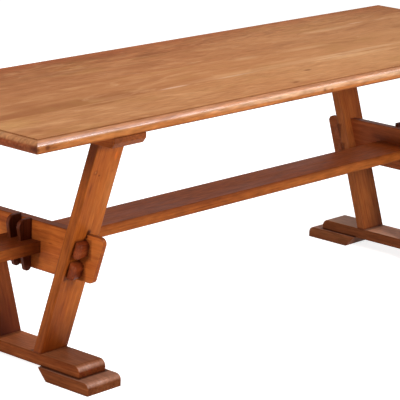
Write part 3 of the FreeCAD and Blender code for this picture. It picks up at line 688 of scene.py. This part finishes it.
def dressLegs():
    v = legValues
    lean = math.radians(v["lean"])
    for corner, values in v["corners"].items():
        end, side = corner.split("_")
        outward = -1 if end == "front" else 1
        along = (0, outward * math.sin(lean), math.cos(lean))
        values = {**v["shared"], **values}
        wood = pieceWood("leg_" + corner, values, along, lengthwise, values["seed"], v["halfSizes"])
        height = wood.axis(upright)
        narrow = wood.facingEither(lengthwise)
        mostlyWide = 1 - narrow * 0.6
        wood.tint(narrow, v["sideShade"][side], "MULTIPLY")
        # painted light on the narrow sides of the right legs
        wood.tint(narrow * v["fadeShare"][side], v["fadeColour"])
        # painted shade low on the leg, near the sole
        foot = wood.rise(height + (wood.blotch - 0.5) * 0.10, *v["footFall"])
        wood.tint(foot * (1 - narrow * 0.45) * v["footShare"][side], v["footColour"])
        middle = wood.between(height, *v["middleBand"])
        wood.tint(middle * mostlyWide * v["middleShare"][side], v["middleColour"])
        # painted shadow under the bearer and top
        narrowHead = wood.rise(height, *v["headFrom"]["narrow"])
        wood.tint(narrow * narrowHead * v["headShare"], v["headColour"])
        wideHead = wood.rise(height, *v["headFrom"]["wide"])
        wood.tint(wideHead * mostlyWide * v["headShare"], v["headColour"])
        # dark foot joint, and painted shade around the pegs
        joint = wood.rise(height, *v["jointFall"])
        for row in ("upper", "lower"):
            joint = joint.greatest(wood.nearBox("peg_%s_%s" % (row, corner), v["pegWidth"]))
        wood.tint(joint * v["jointShare"], v["jointColour"])
        if corner == "front_left":
            for place, halfSizes, colour, share, core in v["marks"]:
                wood.mark(place, halfSizes, colour, share, core)
        dress("leg_" + corner, wood.finished())
    print("legs dressed")


crossbarValues = {
    "halfSizes": (0.0685, 0.015),
    "shared": {"pith": (0.03, -0.06), "ringWidth": 0.006},
    "sides": {
        "left": {
            "dark": (128, 56, 20), "middle": (162, 83, 33), "pale": (186, 108, 50), "seed": 11.3,
        },
        "right": {
            "dark": (126, 58, 28), "middle": (160, 86, 46), "pale": (186, 112, 66), "seed": 12.9,
        },
    },
    # painted shade on the upper side, under the top
    "upperColour": (86, 44, 24), "upperShare": 0.65,
    "endShade": (226, 214, 196),
    # painted shade by the stretcher and in the slots around the pegs
    "jointColour": (70, 24, 8),
    "stretcherShare": 0.45, "stretcherWidth": 0.045,
    "pegShare": 0.50, "pegWidth": 0.007,
    # on the left one, painted shadow in the gap over the tusk and beside the stretcher: place, half
    # sizes, colour, share, core
    "marks": [
        ((-0.8455, -0.219, 0.416), (0.02, 0.007, 0.011), (52, 18, 6), 0.9, 0.3),
        ((-0.859, -0.098, 0.372), (0.02, 0.012, 0.004), (96, 40, 16), 0.6, 0.0),
    ],
}


def dressCrossbars():
    v = crossbarValues
    for side, values in v["sides"].items():
        name = "crossbar_" + side
        values = {**v["shared"], **values}
        wood = pieceWood(name, values, sideways, upright, values["seed"], v["halfSizes"])
        # painted shade on the upper side
        wood.tint(wood.facing(upright) * v["upperShare"], v["upperColour"])
        wood.tint(wood.facingEither(sideways), v["endShade"], "MULTIPLY")
        # painted shade by the stretcher and around the pegs
        joint = wood.nearBox("stretcher", v["stretcherWidth"])
        wood.tint(joint * v["stretcherShare"], v["jointColour"])
        for end in ("front", "back"):
            for row in ("upper", "lower"):
                near = wood.nearBox("peg_%s_%s_%s" % (row, end, side), v["pegWidth"])
                wood.tint(near * v["pegShare"], v["jointColour"])
        if side == "left":
            for place, halfSizes, colour, share, core in v["marks"]:
                wood.mark(place, halfSizes, colour, share, core)
        dress(name, wood.finished())
    print("crossbars dressed")


bearerValues = {
    "dark": (130, 58, 18), "middle": (164, 84, 30), "pale": (188, 108, 46),
    "pith": (0.02, -0.08), "ringWidth": 0.007, "fleckDepth": 1.40,
    "seeds": {"left": 13.1, "right": 14.7},
    "endColour": (108, 54, 26), "endShare": 0.70,      # sawn ends took more stain
    "edgeColour": (96, 44, 18), "edgeShare": 0.55, "edgeFrom": (0.005, 0.055),
}


def dressBearers():
    v = bearerValues
    for side, seed in v["seeds"].items():
        wood = pieceWood("bearer_" + side, v, sideways, lengthwise, seed)
        ends = wood.facingEither(sideways)
        wood.tint(ends * v["endShare"], v["endColour"])
        outer = wood.across * (-1 if side == "left" else 1)
        wood.tint(ends * wood.rise(outer, *v["edgeFrom"]) * v["edgeShare"], v["edgeColour"])
        dress("bearer_" + side, wood.finished())
    print("bearers dressed")


# keys and pegs: darker wood

keyValues = {
    "dark": (40, 14, 4), "middle": (72, 28, 12), "pale": (104, 48, 24),
    "pith": (0.01, -0.05), "ringWidth": 0.004, "firstSeed": 15.3, "seedStep": 1.7,
    # narrow faces painted lighter, as lit faces, partly rubbed edges
    "edgeColour": (116, 58, 32), "edgeShare": 0.26, "edgePolish": 0.12,    # rubbed narrow edges
    "tipColour": (110, 48, 24), "tipShare": 0.5, "tipFrom": (-0.045, -0.065),
}


def dressKeys():
    v = keyValues
    for index, corner in enumerate(corners):
        seed = v["firstSeed"] + index * v["seedStep"]
        wood = pieceWood("key_" + corner, v, upright, lengthwise, seed)
        # painted light on the narrow faces, partly rubbed edges
        narrow = wood.facingEither(lengthwise, 0.3, 0.8)
        rubbed = wood.rise(wood.blotch, 0.3, 0.6, 0.5, 1.0)
        wood.tint(narrow * rubbed * v["edgeShare"], v["edgeColour"])
        wood.tint(wood.rise(wood.along, *v["tipFrom"]) * v["tipShare"], v["tipColour"])
        wood.polish(narrow * v["edgePolish"])
        dress("key_" + corner, wood.finished())
    print("keys dressed")


pegValues = {
    "dark": (72, 25, 8), "middle": (116, 49, 20), "pale": (150, 80, 42),
    "pith": (0.01, -0.04), "ringWidth": 0.004, "firstSeed": 22.1, "seedStep": 1.3,
    "coat": 0.08, "blotchDepth": 1.12, "figureDepth": 0.8,
    # the pegs of the far trestle painted lighter, as painted light
    "rightColour": (160, 92, 54), "rightShare": 0.45,
}


def dressPegs():
    v = pegValues
    names = ["peg_%s_%s" % (row, corner) for row in ("upper", "lower") for corner in corners]
    for index, name in enumerate(names):
        seed = v["firstSeed"] + index * v["seedStep"]
        wood = pieceWood(name, v, lengthwise, upright, seed)
        # painted light on the far pegs
        if name.endswith("right"):
            wood.tint(v["rightShare"], v["rightColour"])
        dress(name, wood.finished())
    print("pegs dressed")


# feet: worn and a little redder, with dirt where they meet, a rubbed polish and a painted highlight
# on the round ends, and painted light on the far ones

footValues = {
    "seeds": {"left": 33.3, "right": 34.9},
    "shared": {
        "ringWidth": 0.006, "coatRoughness": 0.36, "coat": 0.02, "specular": 0.02,
        "fleckDepth": 1.00,
    },
    "sole": {
        "dark": (86, 36, 14), "middle": (116, 57, 26), "pale": (144, 82, 46),
        "pith": (0.02, -0.07),
    },
    "pad": {
        "dark": (90, 42, 20), "middle": (120, 64, 33), "pale": (146, 90, 56),
        "pith": (-0.02, -0.08),
    },
    # the feet of the far trestle painted lighter, as painted light
    "rightColour": (156, 98, 66), "rightShare": 0.30,
    # the round ends painted paler: a painted highlight, partly worn
    "roundWearAndSheenColour": (156, 108, 84), "roundWearAndSheenShare": {"left": 0.55, "right": 0.10},
    "roundPolish": {"left": 0.70, "right": 0.35},
    "rubbedFall": (-0.020, 0.045, 1.0, 0.45),
    # the tops painted paler: dust and wear, and on the far sole a painted sheen
    "topColour": {
        "sole": {"left": (182, 110, 70), "right": (240, 184, 150)},
        "pad": {"left": (142, 100, 80), "right": (160, 108, 84)},
    },
    "topShare": {"left": 0.75, "right": 0.85},
    "topPolish": {"left": 0.0, "right": 0.15},
    "endShade": (226, 222, 218),
    "stainColour": (104, 36, 16), "stainShare": 0.55,   # on the end faces of the soles
    # dirt on a sole: just over its pads, and around the legs
    "dirtColour": (52, 22, 10), "dirtShare": 0.80,
    "padFall": (0.0353, 0.0403, 1.0, 0.0), "padFrom": (0.105, 0.115),
    "legWidth": 0.010, "legShare": 0.7,
    # dirt on a pad: around the sole
    "soleFall": (0.003, 0.009, 1.0, 0.0), "padUpper": (0.028, 0.034),
}


def soleDirt(wood, side, top):
    v = footValues
    overPads = wood.rise(wood.axis(upright), *v["padFall"])
    overPads = overPads * wood.rise(abs(wood.along), *v["padFrom"])
    legs = wood.nearBox("leg_front_" + side, v["legWidth"])
    legs = legs.greatest(wood.nearBox("leg_back_" + side, v["legWidth"]))
    return overPads.greatest(top * legs * v["legShare"])


def padDirt(wood, side):
    v = footValues
    low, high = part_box("sole_" + side)
    outX = abs(wood.across) - (high[0] - low[0]) / 2
    outY = abs(wood.axis(sideways)) - high[1]
    around = wood.rise(outX.greatest(outY), *v["soleFall"])
    return around * wood.rise(wood.axis(upright), *v["padUpper"])


def dressFeet():
    v = footValues
    for side, firstSeed in v["seeds"].items():
        for step, name in enumerate(("sole_" + side, "pad_front_" + side, "pad_back_" + side)):
            kind = name.split("_")[0]
            values = {**v["shared"], **v[kind]}
            wood = pieceWood(name, values, sideways, lengthwise, firstSeed + step)
            # painted light on the far feet
            if side == "right":
                wood.tint(v["rightShare"], v["rightColour"])
            # painted highlight on the round ends, partly worn
            turned = wood.facing((0, -0.707, 0.707), 0.80, 0.95)
            turned = turned.greatest(wood.facing((0, 0.707, 0.707), 0.80, 0.95))
            wood.tint(turned * v["roundWearAndSheenShare"][side], v["roundWearAndSheenColour"])
            # paler tops: dust and wear, on the far sole a painted sheen
            top = wood.facing(upright, 0.75, 0.98)
            troddenAndSheen = wood.rise(wood.blotch, 0.25, 0.60, 0.6, 1.0)
            wood.tint(top * troddenAndSheen * v["topShare"][side], v["topColour"][kind][side])
            rubbed = wood.rise(wood.across, *v["rubbedFall"])
            rubbed = rubbed * wood.rise(wood.figure, 0.35, 0.60, 0.6, 1.0)
            wood.polish(turned * rubbed * v["roundPolish"][side])
            wood.polish(top * v["topPolish"][side])
            sawn = wood.facingEither(sideways, 0.85, 0.98)
            wood.tint(sawn, v["endShade"], "MULTIPLY")
            if kind == "sole":
                stain = sawn * wood.rise(wood.figure, 0.42, 0.58)
                wood.tint(stain * v["stainShare"], v["stainColour"])
            dirt = soleDirt(wood, side, top) if kind == "sole" else padDirt(wood, side)
            wood.tint(dirt * v["dirtShare"], v["dirtColour"])
            dress(name, wood.finished())
    print("feet dressed")


screwValues = {
    "colour": (150, 146, 138), "tarnish": (92, 76, 60), "tarnishShare": 0.5,
    "roughness": (0.28, 0.46),
    "wornScale": 900,
}


def dressScrews():
    v = screwValues
    steel = Graph(bpy.data.materials.new("screwSteel"))
    place = steel.node("ShaderNodeTexCoord", output="Object")
    worn = steel.noise(place, scale=v["wornScale"], detail=3)
    tarnish = steel.rise(worn, 0.5, 0.8) * v["tarnishShare"]
    shader = steel.node("ShaderNodeBsdfPrincipled", {}, {
        "Base Color": steel.blend(tarnish, seen(*v["colour"]), seen(*v["tarnish"])),
        "Roughness": steel.rise(worn, 0.3, 0.7, *v["roughness"]),
        "Metallic": 1.0,
    })
    finished = steel.close(shader)
    for side in ("left", "right"):
        dress("bearer_screws_" + side, finished)
    print("screws dressed")


# room

floorValues = {"size": 40.0, "level": -0.0004, "diffuse": 0.80, "glow": 0.84}


def shownShare(graph):
    # 1 for what the camera sees, straight, in a gloss or through something clear
    rays = [graph.node("ShaderNodeLightPath", output="Is %s Ray" % kind)
            for kind in ("Camera", "Glossy", "Transmission")]
    return rays[0].greatest(rays[1]).greatest(rays[2])


def layFloor():
    half = floorValues["size"] / 2
    level = floorValues["level"]
    mesh = bpy.data.meshes.new("floor")
    spots = [(x * half, y * half, level) for x, y in ((-1, -1), (1, -1), (1, 1), (-1, 1))]
    mesh.from_pydata(spots, [], [(0, 1, 2, 3)])
    floor = bpy.data.objects.new("floor", mesh)
    bpy.context.collection.objects.link(floor)
    paper = Graph(bpy.data.materials.new("paleFloor"))
    grey = floorValues["diffuse"]
    spread = paper.node("ShaderNodeBsdfDiffuse", {}, {"Color": (grey, grey, grey, 1)})
    glow = paper.node("ShaderNodeEmission", {}, {"Strength": floorValues["glow"]})
    bright = paper.node("ShaderNodeAddShader", {}, {0: spread, 1: glow})
    shown = paper.node("ShaderNodeMixShader", {}, {0: shownShare(paper), 1: spread, 2: bright})
    mesh.materials.append(paper.close(shown))
    print("floor laid")


worldValues = {"fill": 0.24, "fillColour": (255, 252, 248)}


def paintWorld():
    scene.world = bpy.data.worlds.new("studio")
    room = Graph(scene.world)
    fill = room.node("ShaderNodeBackground", {}, {
        "Color": seen(*worldValues["fillColour"]),
        "Strength": worldValues["fill"],
    })
    white = room.node("ShaderNodeBackground", {}, {"Color": (1, 1, 1, 1), "Strength": 1.0})
    shown = room.node("ShaderNodeMixShader", {}, {0: shownShare(room), 1: fill, 2: white})
    room.close(shown, "ShaderNodeOutputWorld")
    print("world painted")


def directionFrom(values):
    # from the table to a lamp or the camera
    # azimuth 0 is in front of the long side, -90 in front of the left end
    azimuth = math.radians(values["azimuth"])
    elevation = math.radians(values["elevation"])
    return Vector((
        math.sin(azimuth) * math.cos(elevation),
        -math.cos(azimuth) * math.cos(elevation),
        math.sin(elevation),
    ))


# soft boxes

lampValues = {
    "leftBox": {
        "azimuth": -86, "elevation": 25, "distance": 4.2, "aim": (-0.7, 0, 0.4),
        "size": (1.2, 1.2), "power": 112,
    },
    "rightBox": {
        "azimuth": 13, "elevation": 20, "distance": 3.4, "aim": (-0.85, -0.1, 0.4),
        "size": (1.0, 1.0), "power": 72,
    },
    "overhead": {
        "azimuth": -30, "elevation": 80, "distance": 3.0, "aim": (0, 0, 0.5),
        "size": (3.0, 3.0), "power": 36,
    },
    # in a gloss it would veil the flat tops
    "rearBox": {
        "azimuth": 165, "elevation": 28, "distance": 4.2, "aim": (0.2, 0, 0.4),
        "size": (1.6, 1.2), "power": 50, "inGloss": False,
    },
    # a card that is only seen in the polish
    "glossCard": {
        "azimuth": 60, "elevation": 35, "distance": 3.2, "aim": (0, -0.37, 0.7),
        "size": (4.0, 0.8), "power": 104, "onDiffuse": False,
    },
}


def hangLamps():
    for name, v in lampValues.items():
        data = bpy.data.lights.new(name, "AREA")
        data.shape = "RECTANGLE"
        data.size, data.size_y = v["size"]
        data.energy = v["power"]
        away = directionFrom(v)
        lamp = bpy.data.objects.new(name, data)
        bpy.context.collection.objects.link(lamp)
        lamp.location = Vector(v["aim"]) + away * v["distance"]
        lamp.rotation_euler = away.to_track_quat("Z", "Y").to_euler()
        lamp.visible_diffuse = v.get("onDiffuse", True)
        lamp.visible_glossy = v.get("inGloss", True)
    print("lamps hung")


# camera: fitted to the edges of the table in the photo

cameraValues = {
    "azimuth": -48.98,
    "elevation": 14.90,
    "roll": 2.31,
    "distance": 6.47732,
    "aimRight": -0.09122,
    "aimUp": -0.05317,
    "aimHeight": 0.375,
    "lens": 193.25,
    "sensor": 36,
    "farthest": 60,
}


def setCamera():
    v = cameraValues
    azimuth = math.radians(v["azimuth"])
    roll = math.radians(v["roll"])
    back = directionFrom(v)
    right = Vector((math.cos(azimuth), math.sin(azimuth), 0))
    up = back.cross(right)
    spot = Vector((0, 0, v["aimHeight"])) + back * v["distance"]
    spot += right * v["aimRight"] + up * v["aimUp"]
    across = right * math.cos(roll) + up * math.sin(roll)
    upward = up * math.cos(roll) - right * math.sin(roll)
    data = bpy.data.cameras.new("tableCamera")
    data.lens = v["lens"]
    data.sensor_width = v["sensor"]
    data.clip_end = v["farthest"]
    camera = bpy.data.objects.new("tableCamera", data)
    bpy.context.collection.objects.link(camera)
    camera.matrix_world = Matrix((
        (across.x, upward.x, back.x, spot.x),
        (across.y, upward.y, back.y, spot.y),
        (across.z, upward.z, back.z, spot.z),
        (0, 0, 0, 1),
    ))
    scene.camera = camera
    print("camera set")


dressTop()
dressStretcher()
dressLegs()
dressCrossbars()
dressBearers()
dressKeys()
dressPegs()
dressFeet()
dressScrews()
layFloor()
paintWorld()
hangLamps()
setCamera()
